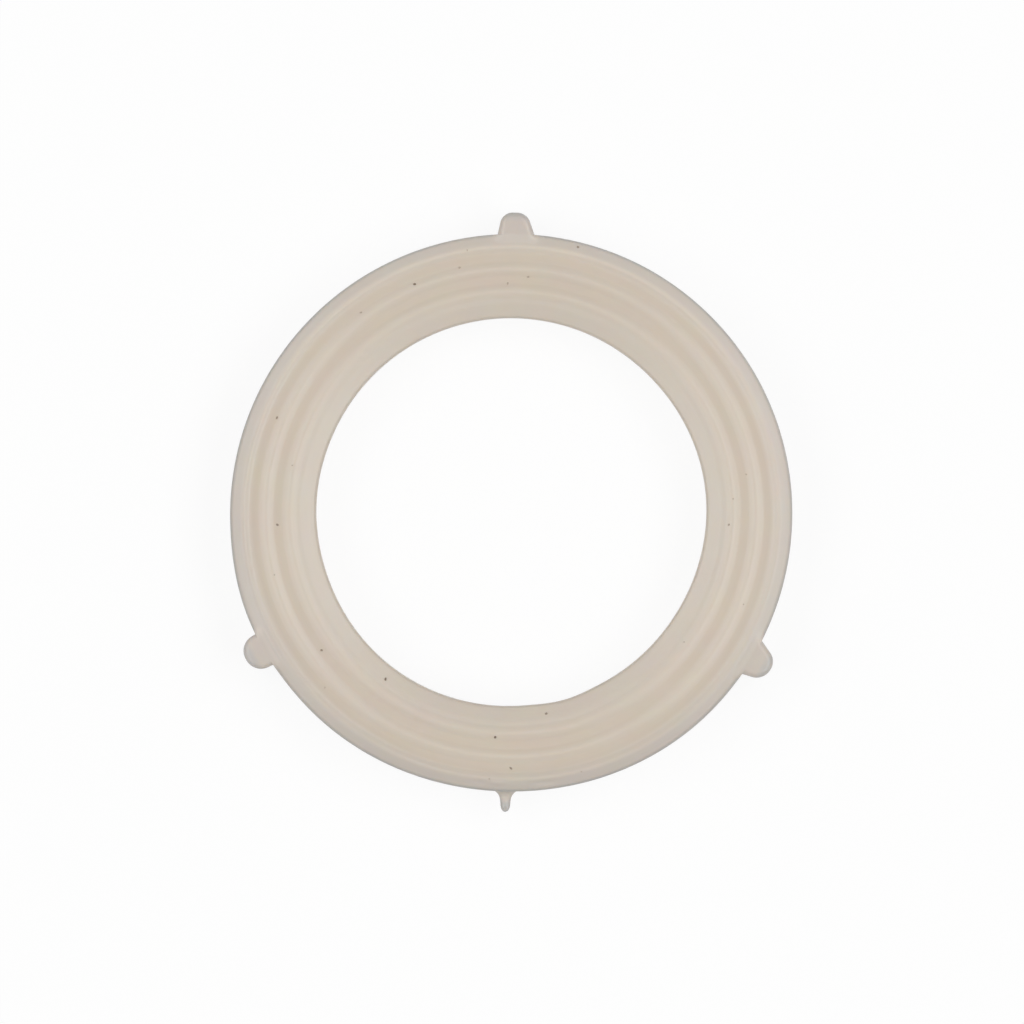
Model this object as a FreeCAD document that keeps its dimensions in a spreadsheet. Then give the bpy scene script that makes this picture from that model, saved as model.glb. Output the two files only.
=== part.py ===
import FreeCAD, Part
import math
import os

import Sketcher

# A reversible ribbed gasket, moulded in one piece of soft silicone rubber, that seals the
# union nut of a hose or pipe. Lengths are in millimetres and angles in degrees. The ring's
# axis is Z and its mid-plane is Z = 0, so that both sealing faces are alike. Three lugs on
# the rim catch in the nut's thread, and a nib of rubber is left where the mould was filled.

SIZES = [
    ("outer_diameter", 24.0, "rim of the ring, lugs left out"),
    ("bore_diameter", 16.6, "passage for the water"),
    ("body_thickness", 2.7, "from groove floor to groove floor"),
    ("bore_round_height", 0.46, "how far the rounding beside the inner rib goes down"),
    ("rim_round_height", 0.24, "how far the rounding beside the outer rib goes down"),
    ("rib_rise", 0.15, "height of each rib over the groove floor"),
    ("inner_rib_place", 0.292, "share of the way from the bore to the rim"),
    ("inner_rib_foot", 0.64, "width of the rib at its foot"),
    ("inner_rib_crest", 0.26, "width of the rib at its crest"),
    ("middle_rib_place", 0.576, "share of the way from the bore to the rim"),
    ("middle_rib_foot", 0.60, "width of the rib at its foot"),
    ("middle_rib_crest", 0.24, "width of the rib at its crest"),
    ("outer_rib_place", 0.816, "share of the way from the bore to the rim"),
    ("outer_rib_foot", 0.36, "width of the rib at its foot"),
    ("outer_rib_crest", 0.16, "width of the rib at its crest"),
    ("lug_drop", 0.03, "from the ribs' crests down to the lugs' upper side"),
    ("lug_edge_bevel", 0.08, "bevel along the lugs' upper and lower edges"),
    ("lug_waist_inset", 0.1, "from the rim inwards to where a lug starts to narrow"),
    ("top_lug_angle", 90.0, "from +X, counter-clockwise"),
    ("top_lug_height", 0.87, "from the rim outwards to the tip"),
    ("top_lug_left_root", 0.82, "half-width at the rim, on the counter-clockwise side"),
    ("top_lug_left_lean", 11.0, "how far that side leans in towards the tip"),
    ("top_lug_left_flat", 0.26, "half-width of the flat end of the tip"),
    ("top_lug_right_root", 0.76, "half-width at the rim, on the clockwise side"),
    ("top_lug_right_lean", 21.0, "how far that side leans in towards the tip"),
    ("top_lug_right_flat", 0.02, "half-width of the flat end of the tip"),
    ("left_lug_angle", 210.0, "from +X, counter-clockwise"),
    ("left_lug_height", 0.99, "from the rim outwards to the tip"),
    ("left_lug_left_root", 0.77, "half-width at the rim, on the counter-clockwise side"),
    ("left_lug_left_lean", 1.5, "how far that side leans in towards the tip"),
    ("left_lug_left_flat", 0.05, "half-width of the flat end of the tip"),
    ("left_lug_right_root", 0.77, "half-width at the rim, on the clockwise side"),
    ("left_lug_right_lean", 1.5, "how far that side leans in towards the tip"),
    ("left_lug_right_flat", 0.05, "half-width of the flat end of the tip"),
    ("right_lug_angle", 330.0, "from +X, counter-clockwise"),
    ("right_lug_height", 0.93, "from the rim outwards to the tip"),
    ("right_lug_left_root", 0.83, "half-width at the rim, on the counter-clockwise side"),
    ("right_lug_left_lean", 20.0, "how far that side leans in towards the tip"),
    ("right_lug_left_flat", 0.05, "half-width of the flat end of the tip"),
    ("right_lug_right_root", 0.82, "half-width at the rim, on the clockwise side"),
    ("right_lug_right_lean", 12.0, "how far that side leans in towards the tip"),
    ("right_lug_right_flat", 0.05, "half-width of the flat end of the tip"),
    ("nib_angle", 270.0, "from +X, counter-clockwise"),
    ("nib_height", 0.75, "from the rim outwards to the tip"),
    ("nib_neck_radius", 0.225, "half-thickness of the nib where its flared root ends"),
    ("nib_tip_radius", 0.165, "rounding of the tip"),
    ("nib_flare_radius", 0.45, "hollow rounding at the root"),
    ("nib_neck_length", 0.20, "from the rim to the end of the flared root"),
    ("nib_root_depth", 0.1, "from the rim inwards to where the flare starts"),
]
RIBS = ("inner", "middle", "outer")
LUGS = ("top", "left", "right")

# A point within this distance of a plane counts as lying on it.
ON_IT = 0.0001

# What a constraint can name: the sketch's X axis, whose start is the sketch's origin, and
# the places on a piece of an outline.
CENTRE_LINE, START, END, MIDDLE = (-1, 1, 2, 3)

UP = FreeCAD.Vector(0, 0, 1)

# Distances that several features share, from the axis or, for FLOOR, CREST and LUG_TOP,
# from the mid-plane.
BORE = "sizes.bore_diameter / 2"
RIM = "sizes.outer_diameter / 2"
RIB_MIDDLE = BORE + " + sizes.%s_rib_place * (" + RIM + " - " + BORE + ")"
FLOOR = "sizes.body_thickness / 2"
CREST = FLOOR + " + sizes.rib_rise"
LUG_TOP = CREST + " - sizes.lug_drop"
LUG_ROOT = RIB_MIDDLE % "outer"
LUG_WAIST = RIM + " - sizes.lug_waist_inset"
LUG_TIP = RIM + " + sizes.%s_lug_height"
NIB_START = RIM + " - sizes.nib_root_depth"
NIB_NECK = RIM + " + sizes.nib_neck_length"
NIB_TIP = RIM + " + sizes.nib_height"


def make_sheet(doc):
    """Write one row for each size: its name, its value under that name, and what it means."""
    sheet = doc.addObject("Spreadsheet::Sheet", "sizes")
    for row, (alias, value, meaning) in enumerate(SIZES, start=1):
        sheet.set("A%d" % row, alias)
        sheet.set("B%d" % row, str(value))
        sheet.setAlias("B%d" % row, alias)
        sheet.set("C%d" % row, meaning)
    doc.recompute()
    return sheet


def new_sketch(body, name, plane, turn=None):
    """Start a sketch on one of the body's origin planes, turned about Z by a named angle."""
    sketch = body.newObject("Sketcher::SketchObject", name)
    planes = [item for item in body.Origin.OriginFeatures if item.Role == plane]
    sketch.AttachmentSupport = [(planes[0], "")]
    sketch.MapMode = "FlatFace"
    if turn:
        sketch.setExpression("AttachmentOffset.Rotation.Angle", turn)
    return sketch


def point_at(sketch, across, up):
    """Work out a point from its two expressions."""
    return FreeCAD.Vector(sketch.evalExpression(across), sketch.evalExpression(up), 0)


def line(start, end):
    """Make a straight piece of an outline."""
    return Part.LineSegment(start, end)


def arc(centre, radius, start, end):
    """Make a curved piece of an outline, counter-clockwise between two angles in degrees."""
    circle = Part.Circle(centre, UP, radius)
    return Part.ArcOfCircle(circle, math.radians(start), math.radians(end))


def draw(sketch, pieces, smooth=()):
    """Add the pieces of a closed outline and join each one's end to the next one's start.

    The pieces run counter-clockwise. Those in smooth meet the next one tangentially."""
    for piece in pieces:
        sketch.addGeometry(piece, False)
    for index in range(len(pieces)):
        kind = "Tangent" if index in smooth else "Coincident"
        following = (index + 1) % len(pieces)
        sketch.addConstraint(Sketcher.Constraint(kind, index, END, following, START))


def hold(sketch, kind, targets, expression):
    """Add a dimension to the sketch and bind it to its expression."""
    value = sketch.evalExpression(expression)
    if kind == "Angle":
        value = math.radians(value)
    index = sketch.addConstraint(Sketcher.Constraint(kind, *targets, value))
    sketch.setExpression("Constraints[%d]" % index, expression)


def hold_across(sketch, piece, place, expression):
    """Hold a point of a piece at its distance from the sketch's vertical axis."""
    hold(sketch, "DistanceX", (CENTRE_LINE, START, piece, place), expression)


def hold_up(sketch, piece, place, expression):
    """Hold a point of a piece at its distance above the sketch's horizontal axis."""
    hold(sketch, "DistanceY", (CENTRE_LINE, START, piece, place), expression)


def hold_down(sketch, piece, place, expression):
    """Hold a point of a piece at its distance below the sketch's horizontal axis."""
    hold(sketch, "DistanceY", (piece, place, CENTRE_LINE, START), expression)


def section_corners():
    """List the corners of the section's upper edge, from the rim to the bore."""
    corners = [(RIM, FLOOR + " - sizes.rim_round_height")]
    for rib in reversed(RIBS):
        middle = RIB_MIDDLE % rib
        foot = "sizes.%s_rib_foot / 2" % rib
        top = "sizes.%s_rib_crest / 2" % rib
        corners.append((middle + " + " + foot, FLOOR))
        corners.append((middle + " + " + top, CREST))
        corners.append((middle + " - " + top, CREST))
        corners.append((middle + " - " + foot, FLOOR))
    corners.append((BORE, FLOOR + " - sizes.bore_round_height"))
    return corners


def rounding(foot, edge):
    """Round the section from a rib's foot, where it lies flat, down to the bore or the rim."""
    across = abs(edge.x - foot.x)
    down = abs(edge.y - foot.y)
    radius = (across**2 + down**2) / (2 * down)
    turn = math.degrees(2 * math.atan2(down, across))
    inwards = -1 if foot.y > 0 else 1
    centre = foot + FreeCAD.Vector(0, inwards * radius, 0)
    flat = 90 if foot.y > 0 else 270
    if (edge.x > foot.x) == (foot.y > 0):
        return arc(centre, radius, flat - turn, flat)
    return arc(centre, radius, flat, flat + turn)


def make_ring(body):
    """Turn the section about the ring's axis. Its lower edge mirrors its upper edge."""
    sketch = new_sketch(body, "section", "XZ_Plane")
    corners = section_corners()
    upper = [point_at(sketch, across, up) for across, up in corners]
    lower = [FreeCAD.Vector(point.x, -point.y, 0) for point in reversed(upper)]
    pieces = []
    for points in (upper, lower):
        pieces.append(rounding(points[1], points[0]))
        for start, end in zip(points[1:-2], points[2:-1]):
            pieces.append(line(start, end))
        pieces.append(rounding(points[-2], points[-1]))
        pieces.append(line(points[-1], FreeCAD.Vector(points[-1].x, -points[-1].y, 0)))
    draw(sketch, pieces)
    last = len(pieces) - 1
    for index, (across, up) in enumerate(corners):
        hold_across(sketch, index, START, across)
        hold_up(sketch, index, START, up)
        mirrored = (index, START, last - index, START, CENTRE_LINE)
        sketch.addConstraint(Sketcher.Constraint("Symmetric", *mirrored))
    half = len(corners)
    roundings = ((0, END), (half - 2, START), (half, END), (2 * half - 2, START))
    for rounded, foot in roundings:
        sketch.addConstraint(Sketcher.Constraint("Vertical", rounded, foot, rounded, MIDDLE))
    ring = body.newObject("PartDesign::Revolution", "ring")
    ring.Profile = sketch
    ring.ReferenceAxis = (sketch, ["V_Axis"])
    ring.Angle = 360


def lug_hand(sketch, lug, side):
    """Work out one hand of a lug's outline, drawn above the sketch's X axis.

    It returns the root, the waist, the place where the leaning side meets the corner's arc,
    the arc's centre and radius, and the angle through which the arc turns."""
    name = "sizes.%s_lug_%s_" % (lug, side)
    root = point_at(sketch, LUG_ROOT, name + "root")
    waist = point_at(sketch, LUG_WAIST, name + "root")
    tip = point_at(sketch, LUG_TIP % lug, name + "flat")
    lean = sketch.evalExpression(name + "lean")
    corner = waist.y - math.tan(math.radians(lean)) * (tip.x - waist.x)
    radius = (corner - tip.y) / math.tan(math.radians(45 - lean / 2))
    centre = tip - FreeCAD.Vector(radius, 0, 0)
    turn = 90 - lean
    along = math.radians(turn)
    met = centre + FreeCAD.Vector(math.cos(along), math.sin(along), 0) * radius
    return root, waist, met, centre, radius, turn


def below(point):
    """Mirror a point in the sketch's horizontal axis."""
    return FreeCAD.Vector(point.x, -point.y, 0)


def add_lug(body, lug):
    """Raise one lug on both sides of the mid-plane, from its outline seen along the axis.

    In its sketch, X points outwards from the ring's axis. The outline starts under the crest
    of the outer rib, keeps its width across the rim's rounding and narrows to the tip."""
    name = "sizes.%s_lug_" % lug
    sketch = new_sketch(body, lug + "_lug_outline", "XY_Plane", name + "angle")
    root, waist, met, centre, radius, turn = lug_hand(sketch, lug, "right")
    right_arc = arc(below(centre), radius, -turn, 0)
    pieces = [
        line(below(root), below(waist)),
        line(below(waist), below(met)),
        right_arc,
    ]
    right_root = root
    root, waist, met, centre, radius, turn = lug_hand(sketch, lug, "left")
    left_arc = arc(centre, radius, 0, turn)
    pieces += [
        line(right_arc.EndPoint, left_arc.StartPoint),
        left_arc,
        line(met, waist),
        line(waist, root),
        line(root, below(right_root)),
    ]
    draw(sketch, pieces, smooth=(1, 2, 3, 4))
    right_edge, right_side, right_corner, tip, left_corner, left_side, left_edge, back = range(8)
    for level in (right_edge, left_edge):
        sketch.addConstraint(Sketcher.Constraint("Horizontal", level))
    for upright in (tip, back):
        sketch.addConstraint(Sketcher.Constraint("Vertical", upright))
    hold_across(sketch, back, START, LUG_ROOT)
    hold_across(sketch, right_side, START, LUG_WAIST)
    hold_across(sketch, left_edge, START, LUG_WAIST)
    hold_across(sketch, tip, START, LUG_TIP % lug)
    hold_down(sketch, right_edge, START, name + "right_root")
    hold_up(sketch, left_edge, START, name + "left_root")
    hold_down(sketch, tip, START, name + "right_flat")
    hold_up(sketch, tip, END, name + "left_flat")
    hold(sketch, "Angle", (right_side,), name + "right_lean")
    hold(sketch, "Angle", (left_side,), "180 - " + name + "left_lean")
    pad = body.newObject("PartDesign::Pad", lug + "_lug")
    pad.Profile = sketch
    pad.SideType = "Symmetric"
    pad.setExpression("Length", "2 * (" + LUG_TOP + ")")
    return pad


def outer_edges(shape, height, radius):
    """Name the edges at one distance above or below Z = 0 that end outside a radius."""
    names = []
    for number, edge in enumerate(shape.Edges, start=1):
        middle = edge.valueAt((edge.FirstParameter + edge.LastParameter) / 2)
        points = [middle] + [vertex.Point for vertex in edge.Vertexes]
        level = all(abs(abs(point.z) - height) < ON_IT for point in points)
        if level and max(math.hypot(point.x, point.y) for point in points) > radius:
            names.append("Edge%d" % number)
    return names


def bevel_lugs(body, last):
    """Bevel the long edges of all the lugs, above and below."""
    body.Document.recompute()
    lug_top = last.evalExpression(LUG_TOP)
    rib_wall = last.evalExpression(LUG_ROOT + " + sizes.outer_rib_foot / 2")
    bevel = body.newObject("PartDesign::Chamfer", "lug_edges")
    bevel.Base = (last, outer_edges(last.Shape, lug_top, rib_wall))
    bevel.setExpression("Size", "sizes.lug_edge_bevel")


def draw_nib(sketch):
    """Draw half of the nib's outline: a hollow flare, a tapering side and a round tip.

    In the sketch, X is the nib's axis. The side is tangent to the tip's circle and leans
    inwards from the neck, and the flare's circle lies on the side's outer hand."""
    root = point_at(sketch, NIB_START, "0")
    neck = point_at(sketch, NIB_NECK, "sizes.nib_neck_radius")
    tip_centre = point_at(sketch, NIB_TIP + " - sizes.nib_tip_radius", "0")
    tip_radius = sketch.evalExpression("sizes.nib_tip_radius")
    flare_radius = sketch.evalExpression("sizes.nib_flare_radius")
    to_tip = tip_centre - neck
    lean = math.atan2(-to_tip.y, to_tip.x) - math.asin(tip_radius / to_tip.Length)
    flare_centre = neck + FreeCAD.Vector(math.sin(lean), math.cos(lean), 0) * flare_radius
    flare_start = 180 + math.degrees(math.acos((flare_centre.x - root.x) / flare_radius))
    flare = arc(flare_centre, flare_radius, flare_start, 270 - math.degrees(lean))
    tip = arc(tip_centre, tip_radius, 0, 90 - math.degrees(lean))
    pieces = [
        line(root, tip.StartPoint),
        tip,
        line(tip.EndPoint, flare.EndPoint),
        flare,
        line(flare.StartPoint, root),
    ]
    for piece in pieces:
        sketch.addGeometry(piece, False)
    axis, end, side, hollow, face = range(len(pieces))
    joints = [
        ("Coincident", axis, END, end, START),
        ("Tangent", end, END, side, START),
        ("Tangent", side, END, hollow, END),
        ("Coincident", hollow, START, face, START),
        ("Coincident", face, END, axis, START),
        ("Vertical", face),
        ("PointOnObject", axis, START, CENTRE_LINE),
        ("PointOnObject", end, START, CENTRE_LINE),
        ("PointOnObject", end, MIDDLE, CENTRE_LINE),
    ]
    for joint in joints:
        sketch.addConstraint(Sketcher.Constraint(*joint))
    hold_across(sketch, axis, START, NIB_START)
    hold_across(sketch, side, END, NIB_NECK)
    hold_up(sketch, side, END, "sizes.nib_neck_radius")
    hold_across(sketch, end, START, NIB_TIP)
    hold(sketch, "Radius", (hollow,), "sizes.nib_flare_radius")
    hold(sketch, "Radius", (end,), "sizes.nib_tip_radius")


def add_nib(body):
    """Turn the nib about its own axis, which points outwards from the ring at mid-height."""
    sketch = new_sketch(body, "nib_outline", "XY_Plane", "sizes.nib_angle")
    draw_nib(sketch)
    nib = body.newObject("PartDesign::Revolution", "nib")
    nib.Profile = sketch
    nib.ReferenceAxis = (sketch, ["H_Axis"])
    nib.Angle = 360


def main():
    doc = FreeCAD.newDocument("gasket")
    make_sheet(doc)
    body = doc.addObject("PartDesign::Body", "gasket")
    body.Label = "gasket"
    make_ring(body)
    lugs = [add_lug(body, lug) for lug in LUGS]
    bevel_lugs(body, lugs[-1])
    add_nib(body)
    doc.recompute()
    wrong = [item.Name for item in doc.Objects if {"Invalid", "Error"} & set(item.State)]
    if wrong or body.Shape.isNull() or not body.Shape.isValid():
        raise RuntimeError("the gasket could not be built: %s" % wrong)
    os.makedirs("parts", exist_ok=True)
    body.Shape.exportStep("parts/%s.step" % body.Label)


main()
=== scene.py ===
# %% [markdown]
# # A ribbed silicone gasket
#
# The object is a small sealing ring of milky silicone rubber, 24 mm across. Three rounded
# ribs run round each face, three lugs stand out from the rim, and a thin nib of rubber is
# left opposite the top lug, most likely where the mould was filled.
#
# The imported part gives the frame: every size and place below is in that frame, in metres.
# Its solid has flat bevels where the rubber is round, so a softer skin takes its place here,
# from the same sizes.

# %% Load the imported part
import math
import random

import bpy
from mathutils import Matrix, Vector


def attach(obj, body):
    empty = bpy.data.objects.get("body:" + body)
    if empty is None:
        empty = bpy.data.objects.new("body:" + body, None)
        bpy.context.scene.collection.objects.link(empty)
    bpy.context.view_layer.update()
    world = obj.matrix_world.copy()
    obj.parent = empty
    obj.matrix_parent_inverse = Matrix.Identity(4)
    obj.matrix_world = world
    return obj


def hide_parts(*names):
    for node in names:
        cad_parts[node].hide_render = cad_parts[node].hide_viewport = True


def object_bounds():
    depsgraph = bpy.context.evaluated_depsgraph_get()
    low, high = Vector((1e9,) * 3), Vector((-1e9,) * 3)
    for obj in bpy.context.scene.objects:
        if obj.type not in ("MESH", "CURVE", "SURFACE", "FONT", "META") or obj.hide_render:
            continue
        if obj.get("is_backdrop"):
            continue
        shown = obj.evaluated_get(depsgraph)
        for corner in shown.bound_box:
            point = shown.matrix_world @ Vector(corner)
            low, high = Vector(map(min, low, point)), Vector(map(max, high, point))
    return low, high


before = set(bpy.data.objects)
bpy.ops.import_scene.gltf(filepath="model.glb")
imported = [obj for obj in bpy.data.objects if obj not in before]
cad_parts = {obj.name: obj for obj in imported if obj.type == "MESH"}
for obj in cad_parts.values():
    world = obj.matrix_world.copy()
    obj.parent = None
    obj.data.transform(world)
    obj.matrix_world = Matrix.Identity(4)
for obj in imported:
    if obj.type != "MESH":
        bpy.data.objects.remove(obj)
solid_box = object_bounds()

MM = 0.001
# Points closer together than this count as being in the same place.
NEAR = 0.01 * MM
low, high = solid_box
print("the solid is %.2f x %.2f x %.2f mm" % tuple((high - low) / MM))

# %% [markdown]
# ## The camera
#
# The photograph looks straight down on the ring from far away, so nothing is foreshortened.
# A long lens a good way up does the same. The ring lies a little turned in the photograph,
# and turning the camera by that angle is better than turning the ring, because the ring has
# to stay where the frame says.

# %% Point the camera straight down
VIEW_WIDTH = 43.78 * MM
VIEW_DISTANCE = 1000 * MM
VIEW_CENTRE = Vector((0.03 * MM, 0.04 * MM, 0))
RING_TURN = math.radians(1.1)
SENSOR = 36.0

camera_data = bpy.data.cameras.new("camera")
camera_data.sensor_width = SENSOR
camera_data.lens = SENSOR * VIEW_DISTANCE / VIEW_WIDTH
camera_data.clip_start = 0.01
camera = bpy.data.objects.new("camera", camera_data)
bpy.context.scene.collection.objects.link(camera)
camera.location = VIEW_CENTRE + Vector((0, 0, VIEW_DISTANCE))
camera.rotation_euler = (0, 0, RING_TURN)
bpy.context.scene.camera = camera
print("lens %.0f mm at %.0f mm" % (camera_data.lens, VIEW_DISTANCE / MM))

# %% [markdown]
# ## The ring's section
#
# Cut through, the ring shows the same line above and below: a shoulder that slopes down to the
# bore, three low ribs with rounded crests and feet, and a steeper shoulder that falls from the
# crest of the outer rib to the rim. The mould's turned grooves give each rib a smooth rise, so
# a rib is drawn here as an S-shaped step up and an S-shaped step down rather than as a box with
# filleted corners. Both shoulders end in a small round corner at the wall. Where the two halves
# of the mould met, a hair-thin parting line runs round the middle of the rim.

# %% Sizes of the section
BORE = 8.287 * MM
RIM = 12.015 * MM
GROOVE_FLOOR = 1.40 * MM
RIB_RISE = 0.10 * MM

# Each shoulder: where it starts, how high, how far it leans in degrees, and the width of its
# corner. The outer one runs straight on from the crest of the outer rib.
INNER_SHOULDER = (9.09 * MM, GROOVE_FLOOR, 19, 0.13 * MM)
OUTER_SHOULDER = (11.45 * MM, GROOVE_FLOOR + RIB_RISE, 24, 0.15 * MM)

# Each rib: the middle's distance from the axis and the width of its foot.
RIBS = [(9.44 * MM, 0.76 * MM), (10.46 * MM, 0.74 * MM), (11.45 * MM, 0.56 * MM)]

SLOPE_STEPS = 8
CORNER_STEPS = 8


def smooth_step(start, end, value):
    """Rise from 0 to 1 along an S-shaped curve."""
    share = min(max((value - start) / (end - start), 0.0), 1.0)
    return share * share * (3 - 2 * share)


def face_height(radius):
    """Height of the upper face over the mid-plane, between its two shoulders."""
    height = GROOVE_FLOOR
    for middle, foot in RIBS:
        height += RIB_RISE * (1 - smooth_step(0, foot / 2, abs(radius - middle)))
    return height


def shoulder(start, height, lean, corner, edge):
    """Points down a shoulder, from a rib to a wall: a slope, and then a round corner."""
    side = 1 if edge > start else -1
    slope = math.tan(math.radians(lean))
    run = abs(edge - start) - corner
    ease = run / 3
    points = []
    for step in range(1, SLOPE_STEPS + 1):
        along = run * step / SLOPE_STEPS
        down = slope * (along * along / (2 * ease) if along < ease else along - ease / 2)
        points.append((start + side * along, height - down))
    radius = corner / (1 - math.sin(math.radians(lean)))
    last = points[-1]
    for step in range(1, CORNER_STEPS + 1):
        turn = math.radians(lean + (90 - lean) * step / CORNER_STEPS)
        across = radius * (math.sin(turn) - math.sin(math.radians(lean)))
        down = radius * (math.cos(math.radians(lean)) - math.cos(turn))
        points.append((last[0] + side * across, last[1] - down))
    return points


# %% Walk round the section
FACE_STEP = 0.045 * MM

inner_foot, outer_foot = INNER_SHOULDER[0], OUTER_SHOULDER[0]
across_face = outer_foot - inner_foot
face_steps = round(across_face / FACE_STEP)
face = [inner_foot + across_face * step / face_steps for step in range(face_steps + 1)]

upper_edge = list(reversed(shoulder(*INNER_SHOULDER, BORE)))
upper_edge += [(radius, face_height(radius)) for radius in face]
upper_edge += shoulder(*OUTER_SHOULDER, RIM)
lower_edge = [(radius, -height) for radius, height in reversed(upper_edge)]


def wall(start, end, steps):
    """Points between two heights on an upright wall."""
    radius, height = start
    rise = end[1] - height
    return [(radius, height + rise * step / steps) for step in range(1, steps)]


WALL_STEPS = 5
LINE_HALF, LINE_OUT = 0.03 * MM, 0.01 * MM
PARTING_LINE = [(RIM, LINE_HALF), (RIM + LINE_OUT, 0), (RIM, -LINE_HALF)]

section = upper_edge + wall(upper_edge[-1], PARTING_LINE[0], WALL_STEPS) + PARTING_LINE
section += wall(PARTING_LINE[-1], lower_edge[0], WALL_STEPS)
section += lower_edge + wall(lower_edge[-1], upper_edge[0], 2 * WALL_STEPS)
print("the section has", len(section), "points")

# %% [markdown]
# ## Spinning the ring
#
# A ring could be made from a torus, but a torus has a round section, and the ribs would have
# to be pushed in loop by loop. It is simpler to draw the section once, as a chain of points,
# and to spin that chain round the axis, as a mould maker turns the cavity on a lathe.
#
# The chain starts as one corner of a plane. Spin leaves a double row of points where the
# turn closes, so the doubles are merged, and then the normals are turned outwards.

# %% Helpers for edit mode
DOUBLED = 0.002 * MM


def start_clean():
    """Leave edit mode and select nothing, because an operator acts on all that is selected."""
    if bpy.context.object and bpy.context.object.mode == "EDIT":
        bpy.ops.object.mode_set(mode="OBJECT")
    bpy.ops.object.select_all(action="DESELECT")


def pick(piece, kind, test):
    """Select the points, edges or faces of a piece for which the test is true."""
    bpy.ops.object.mode_set(mode="EDIT")
    bpy.ops.mesh.select_mode(type={"vertices": "VERT", "edges": "EDGE", "polygons": "FACE"}[kind])
    bpy.ops.mesh.select_all(action="DESELECT")
    bpy.ops.object.mode_set(mode="OBJECT")
    chosen = 0
    points = piece.data.vertices
    for item in getattr(piece.data, kind):
        corners = [item.co] if kind == "vertices" else [points[i].co for i in item.vertices]
        if test(corners):
            item.select = True
            chosen += 1
    bpy.ops.object.mode_set(mode="EDIT")
    return chosen


def slide(offset):
    """Move what is selected."""
    bpy.ops.transform.translate(value=offset)


def tidy_normals():
    """Merge doubled points and point every face outwards."""
    bpy.ops.mesh.select_all(action="SELECT")
    bpy.ops.mesh.remove_doubles(threshold=DOUBLED)
    bpy.ops.mesh.normals_make_consistent(inside=False)
    bpy.ops.object.mode_set(mode="OBJECT")


def apply_place(piece):
    """Put a piece's place and turn into its mesh."""
    start_clean()
    piece.select_set(True)
    bpy.context.view_layer.objects.active = piece
    bpy.ops.object.transform_apply(location=True, rotation=True, scale=True)


# %% Spin the section into a ring
TURN_STEPS = 360

start_clean()
first = Vector((section[0][0], 0, section[0][1]))
bpy.ops.mesh.primitive_plane_add(size=MM, location=first)
gasket = bpy.context.object
gasket.name = "moulded_gasket"
apply_place(gasket)
pick(gasket, "vertices", lambda corners: corners[0].x > first.x or corners[0].y > first.y)
bpy.ops.mesh.delete(type="VERT")
bpy.ops.mesh.select_all(action="SELECT")
slide((0.5 * MM, 0.5 * MM, 0))
for (radius, height), (next_radius, next_height) in zip(section, section[1:] + section[:1]):
    step = (next_radius - radius, 0, next_height - height)
    bpy.ops.mesh.extrude_vertices_move(TRANSFORM_OT_translate={"value": step})
bpy.ops.mesh.select_all(action="SELECT")
bpy.ops.mesh.spin(steps=TURN_STEPS, angle=math.tau, center=(0, 0, 0), axis=(0, 0, 1))
tidy_normals()
print("ring:", len(gasket.data.vertices), "points,", len(gasket.data.polygons), "faces")

# %% [markdown]
# ## Out of round
#
# Soft rubber never lies as a perfect circle. The rim stands out a little at the left lug and is
# drawn in round the nib, and the bore sits a hair off centre. A lattice would bend the ring
# too, but a few broad bends are easier to name: where each one is, how far it spreads and how
# deep it goes. Beside the nib the rim's shoulder also has a raised lip and two shallow tears.

# %% Pull the ring out of round
# Each bend: the angle at its middle, its half-length in degrees, and how far it stands out,
# in mm. A bend that draws the edge in has a minus.
RIM_BENDS = {
    "upper left": (110, 95, -0.09),
    "left lug": (202, 20, 0.07),
    "round the nib": (269, 50, -0.14),
}
BORE_BENDS = {
    "right": (8, 45, 0.08),
    "left": (180, 25, 0.03),
    "lower left": (235, 50, 0.06),
    "beside the nib": (287, 12, 0.06),
}
RIM_SHIFT = Vector((-0.010 * MM, -0.023 * MM, 0))
BORE_SHIFT = Vector((-0.020 * MM, 0.040 * MM, 0))

# Each flaw: its angle and radius, its half-length in degrees, its half-width and its height.
TORN_EDGE = [
    (268.0, 11.66, 1.6, 0.07, 0.05),
    (264.6, 11.66, 1.4, 0.09, -0.05),
    (278.3, 11.68, 2.2, 0.09, -0.05),
    (272.5, 11.74, 1.0, 0.06, 0.03),
]


def bent(bends, angle):
    """How far an edge lies outside its circle at an angle, with all of its bends together."""
    outside = 0.0
    for middle, half_length, amount in bends.values():
        away = abs((angle - middle + 180) % 360 - 180)
        outside += amount * MM * (1 - smooth_step(0, half_length, away))
    return outside


for point in gasket.data.vertices:
    place = point.co
    radius = math.hypot(place.x, place.y)
    angle = math.degrees(math.atan2(place.y, place.x)) % 360
    outside = smooth_step(BORE, RIM, radius)
    outwards = Vector((place.x, place.y, 0)) / radius
    if place.z > 0:
        for centre, middle, half_length, half_width, height in TORN_EDGE:
            along = (angle - centre) / half_length
            across = (radius / MM - middle) / half_width
            place.z += height * MM * math.exp(-along * along - across * across)
    point.co = place + outwards * bent(RIM_BENDS, angle) * outside**2
    point.co += outwards * bent(BORE_BENDS, angle) * (1 - outside)**2
    point.co += RIM_SHIFT * outside + BORE_SHIFT * (1 - outside)
gasket.data.update()
print("the rim has", len(RIM_BENDS), "bends and the bore", len(BORE_BENDS))

# %% [markdown]
# ## Room for the lugs
#
# The lugs catch in the thread of the union nut. Where a lug leaves the ring, there is no wall
# beside it: the ring's shoulder swells up to the lug's top and sinks back a little further on,
# because rubber doesn't fill a sharp inner corner. The swelling is made in the ring's own
# points, before the lugs are joined to it, so that it stays smooth.

# %% Swell the shoulder beside each lug
LUG_TOP = 1.46 * MM
LUG_WEB = 0.55 * MM
WEB_HEIGHT = LUG_TOP + 0.004 * MM
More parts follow.
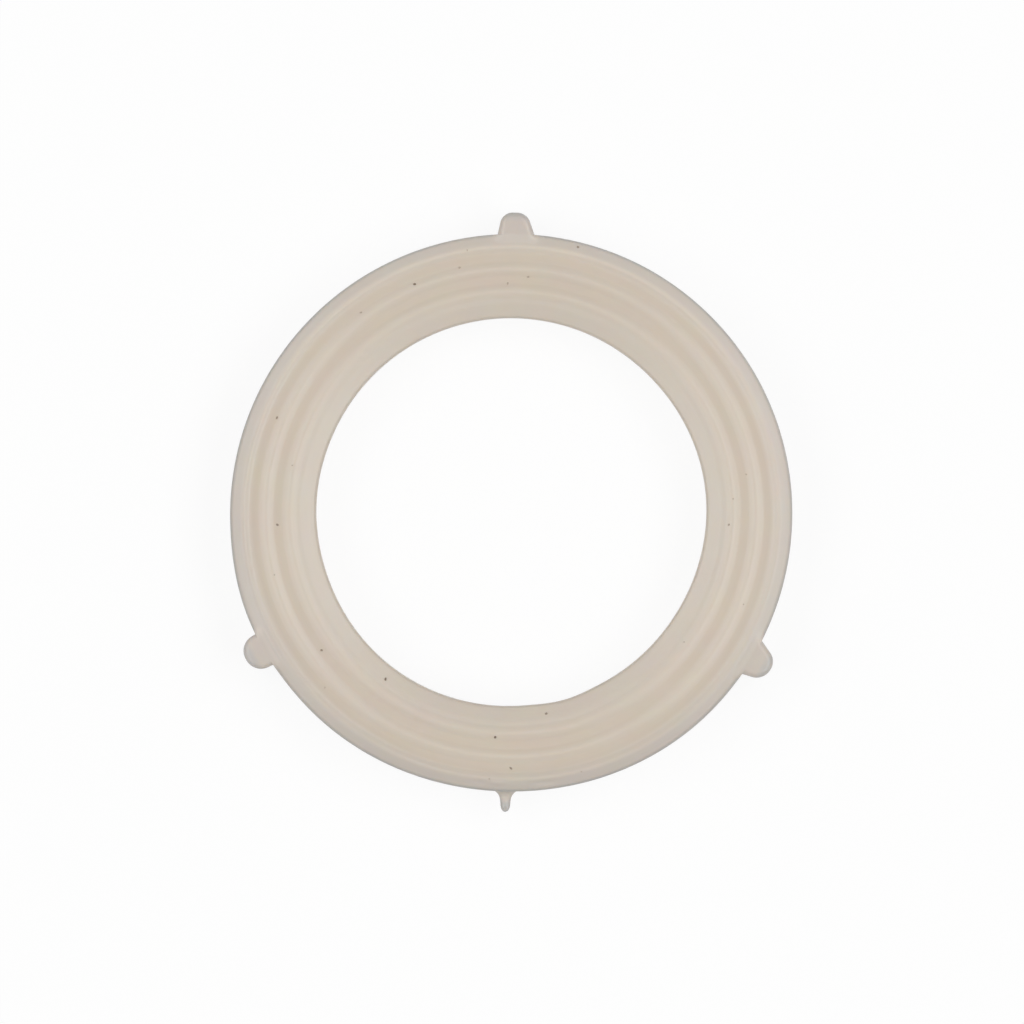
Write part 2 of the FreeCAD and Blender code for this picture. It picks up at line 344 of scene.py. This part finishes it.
# The web starts this far inside the lug's side, and fades towards the mid-plane.
WEB_START = 0.2 * MM
WEB_LOW, WEB_FULL = 0.3 * MM, 1.0 * MM

# For each lug: its angle, its height over the rim, and then for its left and its right hand
# the half-width at the root, the lean in degrees and the half-width of the tip's flat end.
LUGS = {
    "top_lug": (90, 0.81, (0.81, 12.0, 0.20), (0.76, 20.0, 0.03)),
    "left_lug": (210, 0.93, (0.77, 3.0, 0.04), (0.76, 3.0, 0.04)),
    "right_lug": (330, 0.92, (0.89, 24.0, 0.05), (0.82, 14.0, 0.05)),
}

swollen = 0
for angle, _, left, right in LUGS.values():
    turn = math.radians(angle)
    outwards = Vector((math.cos(turn), math.sin(turn), 0))
    sideways = Vector((-math.sin(turn), math.cos(turn), 0))
    for point in gasket.data.vertices:
        place = point.co
        if place.dot(outwards) < OUTER_SHOULDER[0]:
            continue
        aside = place.dot(sideways)
        start = (left if aside > 0 else right)[0] * MM - WEB_START
        near = 1 - smooth_step(start, start + LUG_WEB, abs(aside))
        near *= smooth_step(WEB_LOW, WEB_FULL, abs(place.z))
        missing = WEB_HEIGHT - abs(place.z)
        if near > 0 and missing > 0:
            place.z += math.copysign(missing * near, place.z)
            swollen += 1
gasket.data.update()
print(swollen, "points of the shoulder rise towards the lugs")

# %% [markdown]
# ## The three lugs
#
# Each lug is a flat tongue nearly as thick as the ring, with round corners, and no two have
# the same outline: one side leans in more than the other. A tongue is drawn flat, from above: a
# plane for the root, one edge extruded out to the tip, that edge made narrower, and its two
# corners rounded. Then it is extruded downwards, and its upper and lower edges are rounded as
# well. One function makes all three.

# %% Sizes of the lugs
LUG_ROOT = 11.32 * MM
LUG_WAIST = 11.90 * MM
LUG_EDGE = 0.25 * MM
TIP_SEGMENTS, EDGE_SEGMENTS = 14, 5
# An edge lies level where its ends differ in height by less than this.
LEVEL = 0.001 * MM


# %% Shape a lug
def round_corner(piece, corner, offset):
    """Round one corner of a flat outline."""
    pick(piece, "vertices", lambda corners: (corners[0] - corner).length < NEAR)
    bpy.ops.mesh.bevel(
        offset=offset, segments=TIP_SEGMENTS, affect="VERTICES", clamp_overlap=False)


def make_lug(name, angle, height, left, right):
    """Model one lug along +X, with its left hand towards +Y, and turn it into its place."""
    start_clean()
    bpy.ops.mesh.primitive_plane_add(size=1, location=(0, 0, LUG_TOP))
    lug = bpy.context.object
    lug.name = name
    half_left, half_right = left[0] * MM, right[0] * MM
    root_length = LUG_WAIST - LUG_ROOT
    bpy.ops.object.mode_set(mode="EDIT")
    size = (root_length, half_left + half_right, 1)
    bpy.ops.transform.resize(value=size, center_override=(0, 0, LUG_TOP))
    slide((LUG_ROOT + root_length / 2, (half_left - half_right) / 2, 0))
    bpy.ops.object.mode_set(mode="OBJECT")
    apply_place(lug)

    tip = RIM + height * MM
    pick(lug, "edges", lambda corners: min(point.x for point in corners) > LUG_WAIST - NEAR)
    reach = tip - LUG_WAIST
    bpy.ops.mesh.extrude_edges_move(TRANSFORM_OT_translate={"value": (reach, 0, 0)})
    for hand, (root, lean, flat) in ((1, left), (-1, right)):
        lean_in = math.tan(math.radians(lean)) * reach
        pick(lug, "vertices",
             lambda corners: corners[0].x > tip - NEAR and corners[0].y * hand > 0)
        slide((0, -hand * lean_in, 0))
        bpy.ops.object.mode_set(mode="OBJECT")
        half_tip = root * MM - lean_in
        round_corner(lug, Vector((tip, hand * half_tip, LUG_TOP)), half_tip - flat * MM)

    bpy.ops.mesh.select_all(action="SELECT")
    bpy.ops.mesh.extrude_region_move(TRANSFORM_OT_translate={"value": (0, 0, -2 * LUG_TOP)})
    bpy.ops.mesh.select_all(action="SELECT")
    bpy.ops.mesh.dissolve_limited(angle_limit=math.radians(0.5))
    rims = pick(lug, "edges", lambda corners: abs(corners[0].z - corners[1].z) < LEVEL)
    bpy.ops.mesh.bevel(
        offset=LUG_EDGE, segments=EDGE_SEGMENTS, affect="EDGES", clamp_overlap=False)
    bpy.ops.mesh.select_all(action="SELECT")
    turn = -math.radians(angle)
    bpy.ops.transform.rotate(value=turn, orient_axis="Z", center_override=(0, 0, 0))
    tidy_normals()
    print(name + ":", rims, "edges rounded,", len(lug.data.polygons), "faces")
    return lug


# %% Make the lugs
lugs = [make_lug(name, *sizes) for name, sizes in LUGS.items()]

# %% [markdown]
# ## The nib
#
# A thin nib of rubber stands opposite the top lug. It flares out of the rim like a trumpet,
# narrows to a neck and ends in a rounded tip. It is a stack of rings, so it starts as a small
# disc that faces outwards, and each next ring is extruded from the last one and resized. The
# last ring closes to a point.

# %% Make the nib
NIB_START = -0.28 * MM
NIB_TIP = 0.775 * MM
NIB_NECK = 0.205 * MM
NIB_FLARE = 0.125 * MM
FLARE_FADE = 0.155 * MM
ROUND_END = 0.355 * MM
FLARE_RINGS, END_RINGS = 14, 7
NIB_CORNERS = 40
NIB_LEAN = Vector((-0.017 * MM, 0, 0))


def flare(out):
    """The nib's radius at a distance out from the rim: wide at its root, narrow at its neck."""
    return NIB_NECK + NIB_FLARE * math.exp(-out / FLARE_FADE)


# The rings stand along the flare first, and then round the end like parallels on a globe.
neck_out = NIB_TIP - ROUND_END
nib_rings = []
for ring in range(FLARE_RINGS + 1):
    out = NIB_START + (neck_out - NIB_START) * ring / FLARE_RINGS
    nib_rings.append((out, flare(out)))
for ring in range(1, END_RINGS):
    turn = math.pi / 2 * ring / END_RINGS
    nib_rings.append((neck_out + ROUND_END * math.sin(turn), flare(neck_out) * math.cos(turn)))

start_clean()
out, width = nib_rings[0]
bpy.ops.mesh.primitive_circle_add(
    vertices=NIB_CORNERS, radius=width, fill_type="NGON",
    location=(0, -RIM - out, 0), rotation=(math.pi / 2, 0, 0))
nib = bpy.context.object
nib.name = "nib"
apply_place(nib)
bpy.ops.object.mode_set(mode="EDIT")
bpy.ops.mesh.select_all(action="SELECT")
for (out, width), (next_out, next_width) in zip(nib_rings, nib_rings[1:]):
    step = (0, out - next_out, 0)
    bpy.ops.mesh.extrude_region_move(TRANSFORM_OT_translate={"value": step})
    narrower = next_width / width
    middle = (0, -RIM - next_out, 0)
    bpy.ops.transform.resize(value=(narrower, 1, narrower), center_override=middle)
slide((0, nib_rings[-1][0] - NIB_TIP, 0))
bpy.ops.mesh.merge(type="CENTER")
bpy.ops.mesh.select_all(action="SELECT")
slide(NIB_LEAN)
tidy_normals()
print("nib:", len(nib.data.polygons), "faces")

# %% [markdown]
# ## One piece of rubber
#
# The ring, the lugs and the nib left the mould as one piece. A Boolean modifier set to Union
# melts them together and removes what lies inside, so that light that soaks into the rubber
# meets no hidden wall. The exact solver is slower but keeps the ring's even rows of faces.

# %% Unite the pieces
SMOOTH_BELOW = math.radians(38)

for piece in [*lugs, nib]:
    start_clean()
    bpy.context.view_layer.objects.active = gasket
    gasket.select_set(True)
    union = gasket.modifiers.new(piece.name, "BOOLEAN")
    union.operation = "UNION"
    union.solver = "EXACT"
    union.object = piece
    bpy.ops.object.modifier_apply(modifier=union.name)
    bpy.data.objects.remove(piece)
start_clean()
gasket.select_set(True)
bpy.context.view_layer.objects.active = gasket
bpy.ops.object.shade_smooth_by_angle(angle=SMOOTH_BELOW)
print("gasket:", len(gasket.data.vertices), "points,", len(gasket.data.polygons), "faces")

# %% [markdown]
# ## Dust
#
# Soft silicone is slightly tacky and picks up dust. A few brown grains, about a tenth of a
# millimetre across, sit on the upper face. Paint spots would do from above, but real grains also
# show from the side. Each is a small rounded stone, made lumpy and flattened, and it is
# lowered onto the rubber by casting a ray down to find the surface below it.

# %% Scatter the grains
# The clear grains: a width in mm, a darkness, and then each one's angle and distance from the
# axis, to the nearest degree and tenth of a millimetre.
CLEAR_GRAINS = [
    (0.11, 0.80, [(114, 10.6), (234, 8.9), (267, 9.6)]),
    (0.105, 0.50, [(159, 10.8), (184, 10.0), (217, 10.0), (271, 10.9), (281, 8.7), (77, 11.7)]),
    (0.09, 0.22, [(128, 10.7), (103, 10.7), (87, 10.1), (92, 9.8), (358, 9.3)]),
]
FAINT_COUNT = 10
FAINT_WIDTH, FAINT_DARKNESS = 0.065, 0.12
FAINT_INNER, FAINT_OUTER = 8.9, 11.6

# How much of a grain is sunk in the rubber, its height and its lumps, as shares of its size.
GRAIN_SUNK = 0.3
GRAIN_FLAT = 0.55
GRAIN_LUMPS = 0.06
RAY_START = 5 * MM


def surface_below(across, along):
    """The point of the rubber straight below a place over the ring."""
    start = Vector((across, along, RAY_START))
    found, point, _, _ = gasket.ray_cast(start, Vector((0, 0, -1)))
    return point if found else None


# The faint grains fall anywhere, by a random draw that comes out the same each time.
chance = random.Random(5)
dust_places = [
    (angle, distance, width, darkness)
    for width, darkness, places in CLEAR_GRAINS for angle, distance in places]
for _ in range(FAINT_COUNT):
    angle, distance = chance.uniform(0, 360), chance.uniform(FAINT_INNER, FAINT_OUTER)
    dust_places.append((angle, distance, FAINT_WIDTH, FAINT_DARKNESS))

grains = []
for number, (angle, distance, width, darkness) in enumerate(dust_places):
    turn = math.radians(angle)
    place = surface_below(distance * MM * math.cos(turn), distance * MM * math.sin(turn))
    start_clean()
    bpy.ops.mesh.primitive_ico_sphere_add(subdivisions=2, radius=width * MM / 2, location=place)
    grain = bpy.context.object
    apply_place(grain)
    bpy.ops.object.mode_set(mode="EDIT")
    bpy.ops.mesh.select_all(action="SELECT")
    bpy.ops.transform.vertex_random(offset=width * MM * GRAIN_LUMPS, seed=number + 1)
    long_way = 1.15 + 0.25 * math.sin(number * 2.3)
    squash = (long_way, 1 / long_way, GRAIN_FLAT)
    bpy.ops.transform.resize(value=squash, center_override=place)
    bpy.ops.transform.rotate(value=number * 1.7, orient_axis="Z", center_override=place)
    slide((0, 0, width * MM * GRAIN_FLAT / 2 * (1 - 2 * GRAIN_SUNK)))
    bpy.ops.object.mode_set(mode="OBJECT")
    shade = grain.data.attributes.new("darkness", "FLOAT", "POINT")
    shade.data.foreach_set("value", [darkness] * len(grain.data.vertices))
    grains.append(grain)

start_clean()
for grain in grains:
    grain.select_set(True)
dust = grains[0]
bpy.context.view_layer.objects.active = dust
bpy.ops.object.join()
dust.name = "dust"
bpy.ops.object.shade_smooth()
print("dust:", len(grains), "grains,", len(dust.data.polygons), "faces")

# %% [markdown]
# ## Milky silicone
#
# Silicone rubber lets light in: it scatters a little way below the surface and comes out
# warmer. Subsurface scattering gives that, where a plain diffuse paint would look like chalk.
# The surface is satin.
#
# The colour isn't even. The groove floors hold a deeper beige, the crests are painted paler as
# a painted sheen, and the lugs are painted grey towards their tips as painted shade. All of that
# follows the distance from the axis, so the nodes measure that distance from the object
# coordinates and read the colour off a ramp. Three more tints lie over it, all painted light:
# painted grey shade on the low edges, painted light at the nib's root, and painted shade on one
# side. Faint clouds and fine turning marks from the mould break it all up.

# %% Helpers for nodes
def node(tree, kind, **settings):
    """Add a node, set what its keywords name, and feed or link its inputs."""
    made = tree.nodes.new(kind)
    inputs = settings.pop("inputs", {})
    for name, value in settings.items():
        setattr(made, name, value)
    for name, value in inputs.items():
        if isinstance(value, bpy.types.NodeSocket):
            tree.links.new(value, made.inputs[name])
        else:
            made.inputs[name].default_value = value
    return made


def to_linear(colour):
    """Turn an sRGB colour from 0 to 255 into the linear one that a socket wants."""
    shares = [channel / 255 for channel in colour]
    return [s / 12.92 if s <= 0.04045 else ((s + 0.055) / 1.055) ** 2.4 for s in shares] + [1.0]


# %% Colour by distance from the axis
# Painted light in the ramp: the paler crests and shoulders are a painted sheen, and the grey lug
# tips are painted shade.
BORE_SIDE = (206, 195.5, 182)
GROOVE = (204.5, 191.5, 175.5)
CREST_SHEEN = (209.5, 198, 183.5)
OUTER_CREST_SHEEN = (212, 201, 187.5)
RIM_SIDE = (206, 196.5, 186)
LUG_TINT = (201.5, 191.5, 181.5)
LUG_TIP_SHADE = (190.5, 186, 180)

# A rib has its crest painted pale over its middle quarter, a painted sheen, and is a groove's
# beige at its feet.
CREST_SHARE, FOOT_SHARE = 0.12, 0.48

tints = [(BORE, BORE_SIDE)]
for middle, foot in RIBS[:-1]:
    tints.append((middle - FOOT_SHARE * foot, tints[-1][1]))
    tints.append((middle - CREST_SHARE * foot, CREST_SHEEN))
    tints.append((middle + CREST_SHARE * foot, CREST_SHEEN))
    tints.append((middle + FOOT_SHARE * foot, GROOVE))

# The outer rib is painted the palest, a painted sheen, and its colour fades over its shoulder
# and along the lugs, which are painted grey towards their tips, a painted shade.
tints += [
    (11.00 * MM, GROOVE), (11.25 * MM, OUTER_CREST_SHEEN), (11.35 * MM, OUTER_CREST_SHEEN),
    (11.60 * MM, RIM_SIDE), (11.84 * MM, RIM_SIDE), (12.00 * MM, LUG_TINT),
    (12.40 * MM, LUG_TINT),
    (12.75 * MM, LUG_TIP_SHADE),
]
RAMP_START = 8.2 * MM
RAMP_END = 13.0 * MM

silicone = bpy.data.materials.new("milky_silicone")
silicone.use_nodes = True
tree = silicone.node_tree
shader = tree.nodes["Principled BSDF"]

place = node(tree, "ShaderNodeTexCoord").outputs["Object"]
flat = node(tree, "ShaderNodeVectorMath", operation="MULTIPLY", inputs={0: place, 1: (1, 1, 0)})
distance = node(tree, "ShaderNodeVectorMath", operation="LENGTH", inputs={0: flat.outputs[0]})
share = node(tree, "ShaderNodeMapRange", inputs={
    "Value": distance.outputs["Value"], "From Min": RAMP_START, "From Max": RAMP_END})
ramp = node(tree, "ShaderNodeValToRGB", inputs={"Fac": share.outputs["Result"]})
ramp.color_ramp.interpolation = "EASE"
stops = ramp.color_ramp.elements
while len(stops) < len(tints):
    stops.new(0.5)
for stop, (radius, colour) in zip(stops, tints):
    stop.position = (radius - RAMP_START) / (RAMP_END - RAMP_START)
    stop.color = to_linear(colour)
print("the ramp has", len(stops), "stops")

# %% Painted grey shade on the edges
# Painted shade: where the rubber ends at the rim, at the lugs' sides and in the nib, its beige
# is painted grey for the shade on these low edges and the thin nib. All of those lie low, so the
# height over the mid-plane says where they are. The bore's wall stays beige.
NIB_SHADE = (185, 182.5, 179)
EDGE_SHADE = (180, 177.5, 172)
EDGE_LOW, EDGE_HIGH = 1.22 * MM, 1.355 * MM

parts = node(tree, "ShaderNodeSeparateXYZ", inputs={"Vector": place})
level = node(tree, "ShaderNodeMath", operation="ABSOLUTE", inputs={0: parts.outputs["Z"]})
past_rim = node(tree, "ShaderNodeMapRange", inputs={
    "Value": distance.outputs["Value"], "From Min": 12.05 * MM, "From Max": 12.4 * MM})
nib_shade_mix = node(tree, "ShaderNodeMix", data_type="RGBA")
tree.links.new(past_rim.outputs["Result"], nib_shade_mix.inputs["Factor"])
tree.links.new(ramp.outputs["Color"], nib_shade_mix.inputs["A"])
nib_shade_mix.inputs["B"].default_value = to_linear(NIB_SHADE)

high_up = node(tree, "ShaderNodeMapRange", inputs={
    "Value": level.outputs[0], "From Min": 0.3 * MM, "From Max": 1.2 * MM})
edge_shade_mix = node(tree, "ShaderNodeMix", data_type="RGBA")
tree.links.new(high_up.outputs["Result"], edge_shade_mix.inputs["Factor"])
tree.links.new(nib_shade_mix.outputs["Result"], edge_shade_mix.inputs["A"])
edge_shade_mix.inputs["B"].default_value = to_linear(EDGE_SHADE)

# The painted grey shade isn't even: a noise makes it a little stronger and weaker round the ring.
low_down = node(tree, "ShaderNodeMapRange", interpolation_type="SMOOTHSTEP", inputs={
    "Value": level.outputs[0], "From Min": EDGE_LOW, "From Max": EDGE_HIGH,
    "To Min": 1.0, "To Max": 0.0})
outer = node(tree, "ShaderNodeMapRange", inputs={
    "Value": distance.outputs["Value"], "From Min": 9.0 * MM, "From Max": 11.0 * MM})
breaks = node(tree, "ShaderNodeTexNoise", inputs={
    "Vector": place, "Scale": 420.0, "Detail": 2.0})
strength = node(tree, "ShaderNodeMapRange", inputs={
    "Value": breaks.outputs["Fac"], "From Min": 0.35, "From Max": 0.6,
    "To Min": 0.7, "To Max": 1.0})
outer_low = node(tree, "ShaderNodeMath", operation="MULTIPLY", inputs={
    0: low_down.outputs["Result"], 1: outer.outputs["Result"]})
edge_shade_mask = node(tree, "ShaderNodeMath", operation="MULTIPLY", inputs={
    0: outer_low.outputs[0], 1: strength.outputs["Result"]})
# Mix the painted grey shade over the ramp's colour.
edge_shaded = node(tree, "ShaderNodeMix", data_type="RGBA")
tree.links.new(edge_shade_mask.outputs[0], edge_shaded.inputs["Factor"])
tree.links.new(ramp.outputs["Color"], edge_shaded.inputs["A"])
tree.links.new(edge_shade_mix.outputs["Result"], edge_shaded.inputs["B"])
print("the tint turns grey below %.2f mm" % (EDGE_HIGH / MM))

# %% Painted light at the nib's root
# Painted light: the nib's root is painted paler than its tip, to lift the shadow that the rim's
# wall throws on it.
ROOT_LIGHT = (218, 208, 196)
ROOT_PLACE = (0, -12.03 * MM, 0.3 * MM)
ROOT_REACH = 0.46 * MM

from_root = node(tree, "ShaderNodeVectorMath", operation="DISTANCE", inputs={
    0: place, 1: ROOT_PLACE})
root_light_mask = node(tree, "ShaderNodeMapRange", interpolation_type="SMOOTHSTEP", inputs={
    "Value": from_root.outputs["Value"], "From Min": 0.08 * MM, "From Max": ROOT_REACH,
    "To Min": 1.0, "To Max": 0.0})
root_lit = node(tree, "ShaderNodeMix", data_type="RGBA")
tree.links.new(root_light_mask.outputs["Result"], root_lit.inputs["Factor"])
tree.links.new(edge_shaded.outputs["Result"], root_lit.inputs["A"])
root_lit.inputs["B"].default_value = to_linear(ROOT_LIGHT)
print("the nib's root is pale for %.2f mm" % (ROOT_REACH / MM))

# %% Painted shade on one side
# Painted shade: the outer edge is painted darker on the side of the nib, where less light falls.
# The flat webs beside the lugs stay as they are: they are the highest places so far out.
SHADED_SIDE = math.radians(250)
SIDE_SHADE = (0.90, 0.905, 0.905, 1.0)
DARK_FROM, DARK_FULL, DARK_FADES, DARK_ENDS = 10.6 * MM, 11.5 * MM, 11.9 * MM, 12.1 * MM

outwards = node(tree, "ShaderNodeVectorMath", operation="NORMALIZE", inputs={0: flat.outputs[0]})
facing = node(tree, "ShaderNodeVectorMath", operation="DOT_PRODUCT", inputs={
    0: outwards.outputs[0], 1: (math.cos(SHADED_SIDE), math.sin(SHADED_SIDE), 0)})
side = node(tree, "ShaderNodeMapRange", interpolation_type="SMOOTHSTEP", inputs={
    "Value": facing.outputs["Value"], "From Min": -1.0, "From Max": 1.0})
band_start = node(tree, "ShaderNodeMapRange", interpolation_type="SMOOTHSTEP", inputs={
    "Value": distance.outputs["Value"], "From Min": DARK_FROM, "From Max": DARK_FULL})
band_end = node(tree, "ShaderNodeMapRange", interpolation_type="SMOOTHSTEP", inputs={
    "Value": distance.outputs["Value"], "From Min": DARK_FADES, "From Max": DARK_ENDS,
    "To Min": 1.0, "To Max": 0.0})
band = node(tree, "ShaderNodeMath", operation="MULTIPLY", inputs={
    0: band_start.outputs["Result"], 1: band_end.outputs["Result"]})
shoulder_start, shoulder_height, shoulder_lean, _ = OUTER_SHOULDER
fall = math.tan(math.radians(shoulder_lean))
slope_height = node(tree, "ShaderNodeMath", operation="MULTIPLY_ADD", inputs={
    0: distance.outputs["Value"], 1: fall, 2: level.outputs[0]})
slope_top = shoulder_start * fall + shoulder_height
off_web = node(tree, "ShaderNodeMapRange", inputs={
    "Value": slope_height.outputs[0], "From Min": slope_top + 0.03 * MM,
    "From Max": slope_top + 0.11 * MM, "To Min": 1.0, "To Max": 0.2})
dark_band = node(tree, "ShaderNodeMath", operation="MULTIPLY", inputs={
    0: off_web.outputs["Result"], 1: band.outputs[0]})
side_shade_mask = node(tree, "ShaderNodeMath", operation="MULTIPLY", inputs={
    0: side.outputs["Result"], 1: dark_band.outputs[0]})
tinted = node(tree, "ShaderNodeMix", data_type="RGBA", blend_type="MULTIPLY")
tree.links.new(side_shade_mask.outputs[0], tinted.inputs["Factor"])
tree.links.new(root_lit.outputs["Result"], tinted.inputs["A"])
tinted.inputs["B"].default_value = SIDE_SHADE
print("the side at %.0f degrees is darkest" % math.degrees(SHADED_SIDE))

# %% Clouds, turning marks and grain
CLOUD_STRENGTH, MARK_STRENGTH = 0.07, 0.04

clouds = node(tree, "ShaderNodeTexNoise", inputs={
    "Vector": place, "Scale": 650.0, "Detail": 4.0, "Roughness": 0.55})
clouded = node(tree, "ShaderNodeMix", data_type="RGBA", blend_type="SOFT_LIGHT")
clouded.inputs["Factor"].default_value = CLOUD_STRENGTH
tree.links.new(tinted.outputs["Result"], clouded.inputs["A"])
tree.links.new(clouds.outputs["Color"], clouded.inputs["B"])

# The turning marks run round the ring, so their noise changes quickly across the ring and
# slowly along it. The direction from the axis has no seam, which an angle would have.
MARKS_ALONG = 5.0
MARKS_ACROSS = 9000.0
along = node(tree, "ShaderNodeVectorMath", operation="SCALE", inputs={
    0: outwards.outputs[0], "Scale": MARKS_ALONG})
across = node(tree, "ShaderNodeMath", operation="MULTIPLY", inputs={
    0: distance.outputs["Value"], 1: MARKS_ACROSS})
lift = node(tree, "ShaderNodeCombineXYZ", inputs={"Z": across.outputs[0]})
marks_place = node(tree, "ShaderNodeVectorMath", operation="ADD", inputs={
    0: along.outputs[0], 1: lift.outputs[0]})
marks = node(tree, "ShaderNodeTexNoise", inputs={
    "Vector": marks_place.outputs[0], "Scale": 1.0, "Detail": 2.0})

marked = node(tree, "ShaderNodeMix", data_type="RGBA", blend_type="SOFT_LIGHT")
marked.inputs["Factor"].default_value = MARK_STRENGTH
tree.links.new(clouded.outputs["Result"], marked.inputs["A"])
tree.links.new(marks.outputs["Color"], marked.inputs["B"])
tree.links.new(marked.outputs["Result"], shader.inputs["Base Color"])

grain_noise = node(tree, "ShaderNodeTexNoise", inputs={
    "Vector": place, "Scale": 5200.0, "Detail": 3.0})
relief = node(tree, "ShaderNodeMath", operation="MULTIPLY_ADD", inputs={
    0: marks.outputs["Fac"], 1: 0.8, 2: grain_noise.outputs["Fac"]})
bump = node(tree, "ShaderNodeBump", inputs={
    "Strength": 0.35, "Distance": 0.012 * MM, "Height": relief.outputs[0]})
tree.links.new(bump.outputs["Normal"], shader.inputs["Normal"])

gloss = node(tree, "ShaderNodeMapRange", inputs={
    "Value": clouds.outputs["Fac"], "To Min": 0.34, "To Max": 0.42})
tree.links.new(gloss.outputs["Result"], shader.inputs["Roughness"])
shader.inputs["IOR"].default_value = 1.41
shader.inputs["Specular IOR Level"].default_value = 0.75
shader.inputs["Subsurface Weight"].default_value = 0.25
shader.inputs["Subsurface Radius"].default_value = (1.0, 0.72, 0.48)
shader.inputs["Subsurface Scale"].default_value = 0.3 * MM
print("silicone:", len(tree.nodes), "nodes")

gasket.data.materials.clear()
gasket.data.materials.append(silicone)

# %% [markdown]
# ## The dust's own colour
#
# The grains are brown, and most are hardly darker than the rubber. Each grain carries a number
# for how dark it is, so one material serves them all, and a noise keeps a grain from being one
# flat colour.

# %% Colour the dust
PALE_DUST = (194, 180, 164)
DARK_DUST = (118, 103, 87)

grit = bpy.data.materials.new("dust_grit")
grit.use_nodes = True
tree = grit.node_tree
shader = tree.nodes["Principled BSDF"]
darkness = node(tree, "ShaderNodeAttribute", attribute_name="darkness")
speckle = node(tree, "ShaderNodeTexNoise", inputs={"Scale": 60000.0, "Detail": 1.0})
coordinates = node(tree, "ShaderNodeTexCoord")
tree.links.new(coordinates.outputs["Object"], speckle.inputs["Vector"])
wobble = node(tree, "ShaderNodeMath", operation="MULTIPLY_ADD", inputs={
    0: speckle.outputs["Fac"], 1: 0.2, 2: darkness.outputs["Fac"]})
browns = node(tree, "ShaderNodeValToRGB", inputs={"Fac": wobble.outputs[0]})
stops = browns.color_ramp.elements
stops[0].position, stops[0].color = 0.1, to_linear(PALE_DUST)
stops[1].position, stops[1].color = 1.0, to_linear(DARK_DUST)
tree.links.new(browns.outputs["Color"], shader.inputs["Base Color"])
shader.inputs["Roughness"].default_value = 0.8
dust.data.materials.clear()
dust.data.materials.append(grit)

# %% [markdown]
# ## Floor and light
#
# The ring lies on a white table under soft studio light. Two wide panels stand at its right
# and its left, and a smaller panel hangs above each. Rubber is glossy enough to throw some of
# that light straight back, so a faint white sheen lies on the ribs and slopes that face a
# panel, and the ring looks paler at its sides than at its top and bottom. A pale world fills
# the shadows. The floor mixes its own diffuse white with plain white that only the camera and
# mirrored rays see: the picture's ground turns white and the ring keeps a soft shadow.

# %% Which rays see white
def seen_rays(tree):
    """Be 1 for rays that come from the camera, straight or by a mirror or through glass."""
    rays = node(tree, "ShaderNodeLightPath")
    either = node(tree, "ShaderNodeMath", operation="MAXIMUM", inputs={
        0: rays.outputs["Is Camera Ray"], 1: rays.outputs["Is Glossy Ray"]})
    seen = node(tree, "ShaderNodeMath", operation="MAXIMUM", inputs={
        0: either.outputs[0], 1: rays.outputs["Is Transmission Ray"]})
    return seen.outputs[0]


# %% Lay the floor
FLOOR_HALF = 1500 * MM
FLOOR_SEEN = 0.9

start_clean()
bpy.ops.mesh.primitive_plane_add(size=2 * FLOOR_HALF, location=(0, 0, low.z))
floor = bpy.context.object
floor.name = "floor"
apply_place(floor)

table = bpy.data.materials.new("white_table")
table.use_nodes = True
tree = table.node_tree
tree.nodes.clear()
paper = node(tree, "ShaderNodeBsdfDiffuse", inputs={"Color": (0.95, 0.95, 0.95, 1.0)})
white = node(tree, "ShaderNodeEmission", inputs={"Color": (1, 1, 1, 1), "Strength": 1.0})
seen = node(tree, "ShaderNodeMath", operation="MULTIPLY", inputs={
    0: seen_rays(tree), 1: FLOOR_SEEN})
both = node(tree, "ShaderNodeMixShader", inputs={
    0: seen.outputs[0], 1: paper.outputs[0], 2: white.outputs[0]})
out = node(tree, "ShaderNodeOutputMaterial", inputs={"Surface": both.outputs[0]})
floor.data.materials.append(table)
floor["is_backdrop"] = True

# %% Light the ring
WORLD_LIGHT = 0.14
# Each lamp: its bearing from +X, its elevation, its height and width in mm, and its power in
# watts.
LAMPS = {
    "right_panel": (0, 38, (380, 520), 0.34),
    "left_panel": (180, 38, (380, 520), 0.50),
    "upper_right_panel": (0, 58, (220, 420), 0.85),
    "upper_left_panel": (180, 58, (220, 420), 0.57),
}
LAMP_DISTANCE = 420 * MM

for name, (bearing, elevation, (height, width), power) in LAMPS.items():
    lamp_data = bpy.data.lights.new(name, "AREA")
    lamp_data.shape = "RECTANGLE"
    lamp_data.size, lamp_data.size_y = width * MM, height * MM
    lamp_data.energy = power
    lamp = bpy.data.objects.new(name, lamp_data)
    bpy.context.scene.collection.objects.link(lamp)
    bearing, elevation = math.radians(bearing), math.radians(elevation)
    level = math.cos(elevation)
    towards = Vector((level * math.cos(bearing), level * math.sin(bearing), math.sin(elevation)))
    lamp.location = towards * LAMP_DISTANCE
    lamp.rotation_euler = towards.to_track_quat("Z", "Y").to_euler()
    lamp.visible_camera = False

world = bpy.data.worlds.new("studio")
bpy.context.scene.world = world
world.use_nodes = True
tree = world.node_tree
seen = node(tree, "ShaderNodeMapRange", inputs={
    "Value": seen_rays(tree), "To Min": WORLD_LIGHT, "To Max": 1.0})
background = tree.nodes["Background"]
background.inputs["Color"].default_value = (1, 1, 1, 1)
tree.links.new(seen.outputs["Result"], background.inputs["Strength"])
bpy.context.scene.view_settings.view_transform = "Standard"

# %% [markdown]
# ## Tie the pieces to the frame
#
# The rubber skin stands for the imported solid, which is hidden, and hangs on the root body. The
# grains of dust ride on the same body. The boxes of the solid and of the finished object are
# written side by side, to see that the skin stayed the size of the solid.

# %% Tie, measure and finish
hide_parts("gasket")
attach(gasket, "root")
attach(dust, "root")

finished_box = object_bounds()
low, high = finished_box
print("the finished object is %.2f x %.2f x %.2f mm" % tuple((high - low) / MM))
